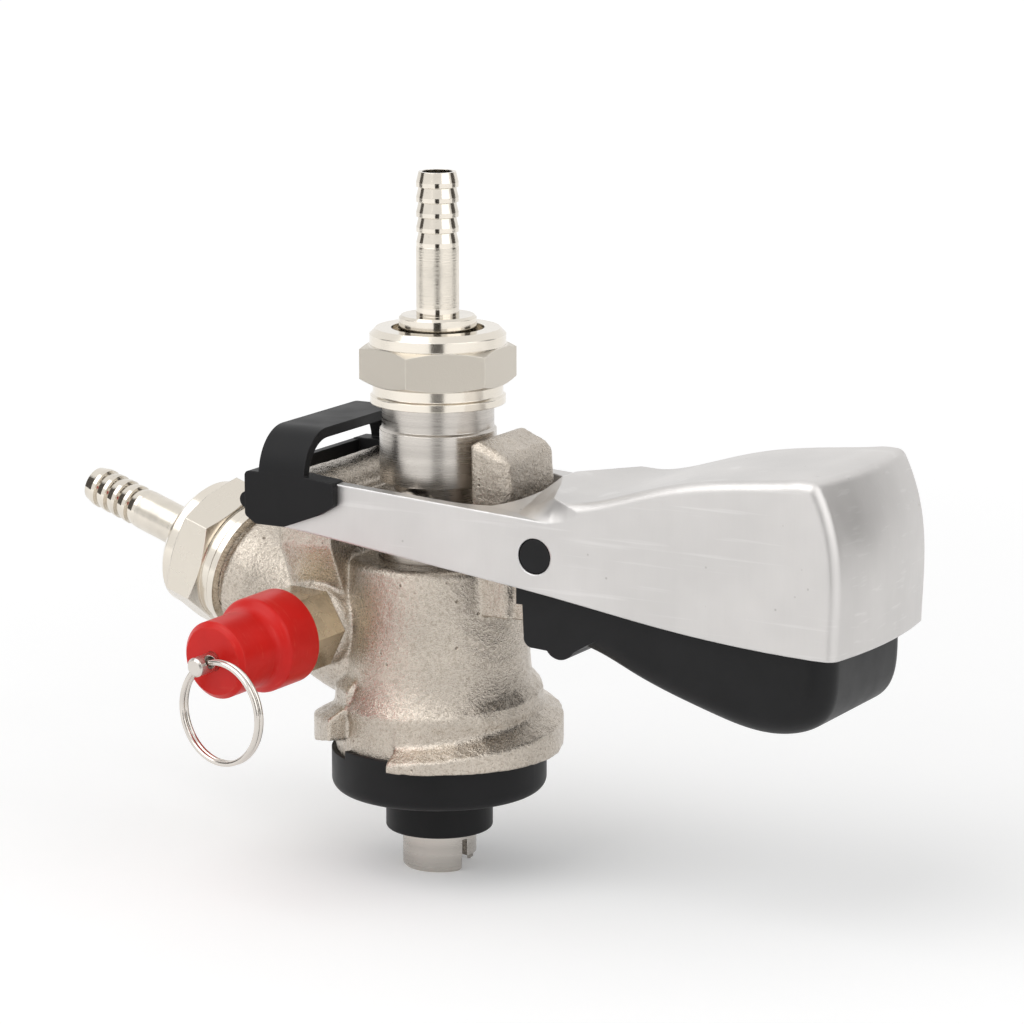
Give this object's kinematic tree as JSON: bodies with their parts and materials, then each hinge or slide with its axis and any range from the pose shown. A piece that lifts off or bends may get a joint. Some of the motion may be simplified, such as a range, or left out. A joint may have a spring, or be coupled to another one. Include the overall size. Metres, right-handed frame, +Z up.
{
  "type": "keg coupler",
  "caption": "Lever-operated keg coupler with barbed beer and gas tails, a pull-ring relief valve and a spring-loaded trigger grip.",
  "frame": {"origin": "on the probe's axis, in the plane of the body seal's lower face", "axes": "+Z up along the probe towards the beer tail, +X towards the lever's grip, +Y to the far side when the grip points right"},
  "size_m": [0.1898, 0.0747, 0.1401],
  "materials": {
    "cast_nickel": "rough cast, bright nickel plate",
    "bright_nickel": "turned and polished nickel plate",
    "steel": "turned stainless steel",
    "cast_aluminium": "satin cast",
    "black_plastic": "satin moulded",
    "black_rubber": "matt moulded",
    "red_plastic": "satin moulded",
    "brass_plate": "plated brass"
  },
  "bodies": {
    "coupler": {"coupler_body": "cast_nickel", "body_seal": "black_rubber", "gas_nut": "bright_nickel", "gas_tail": "steel", "gas_washer": "black_rubber", "gas_check_valve": "black_rubber", "prv_body": "brass_plate", "prv_cap": "red_plastic", "prv_spring": "steel"},
    "probe": {"probe": "steel", "probe_seal": "black_rubber", "probe_orings": "black_rubber", "beer_nut": "bright_nickel", "beer_tail": "steel", "beer_washer": "black_rubber"},
    "beer_ball": {"beer_check_ball": "steel"},
    "lever": {"lever": "cast_aluminium", "lever_studs": "steel", "hinge_pin": "steel", "hinge_cover": "black_rubber", "trigger_pin": "black_plastic"},
    "trigger": {"trigger": "black_plastic", "trigger_spring": "steel"},
    "prv_stem": {"prv_stem": "steel", "prv_valve_disc": "black_rubber"},
    "prv_ring": {"prv_split_ring": "steel"}
  },
  "joints": [
    {"name": "lever_hinge", "type": "hinge", "parent": "coupler", "child": "lever", "pos_m": [-0.022, 0, 0.06], "axis": [0, -1, 0], "range_deg": [0, 34]},
    {"name": "probe_slide", "type": "slide", "parent": "coupler", "child": "probe", "axis": [0, 0, 1], "range_m": [0, 0.0126]},
    {"name": "trigger_pivot", "type": "hinge", "parent": "lever", "child": "trigger", "pos_m": [0.03295, 0, 0.0544], "axis": [0, -1, 0], "range_deg": [0, 4], "stiffness_Nm_per_rad": 0.25, "springref_deg": -14.32},
    {"name": "prv_stem_slide", "type": "slide", "parent": "coupler", "child": "prv_stem", "axis": [-0.1561, -0.9858, -0.061], "range_m": [0, 0.0025], "stiffness_N_per_m": 600, "springref_m": -0.004, "deforming": ["prv_spring"]},
    {"name": "prv_ring_swing", "type": "hinge", "parent": "prv_stem", "child": "prv_ring", "pos_m": [-0.02571, -0.04608, 0.03177], "axis": [-0.8835, 0.167, -0.4376], "range_deg": [-3, 100]},
    {"name": "beer_ball_lift", "type": "slide", "parent": "probe", "child": "beer_ball", "axis": [0, 0, 1], "range_m": [0, 0.0014]}
  ],
  "couplings": [
    {"joint": "probe_slide", "follows": "lever_hinge", "m_per_rad": 0.0212}
  ]
}
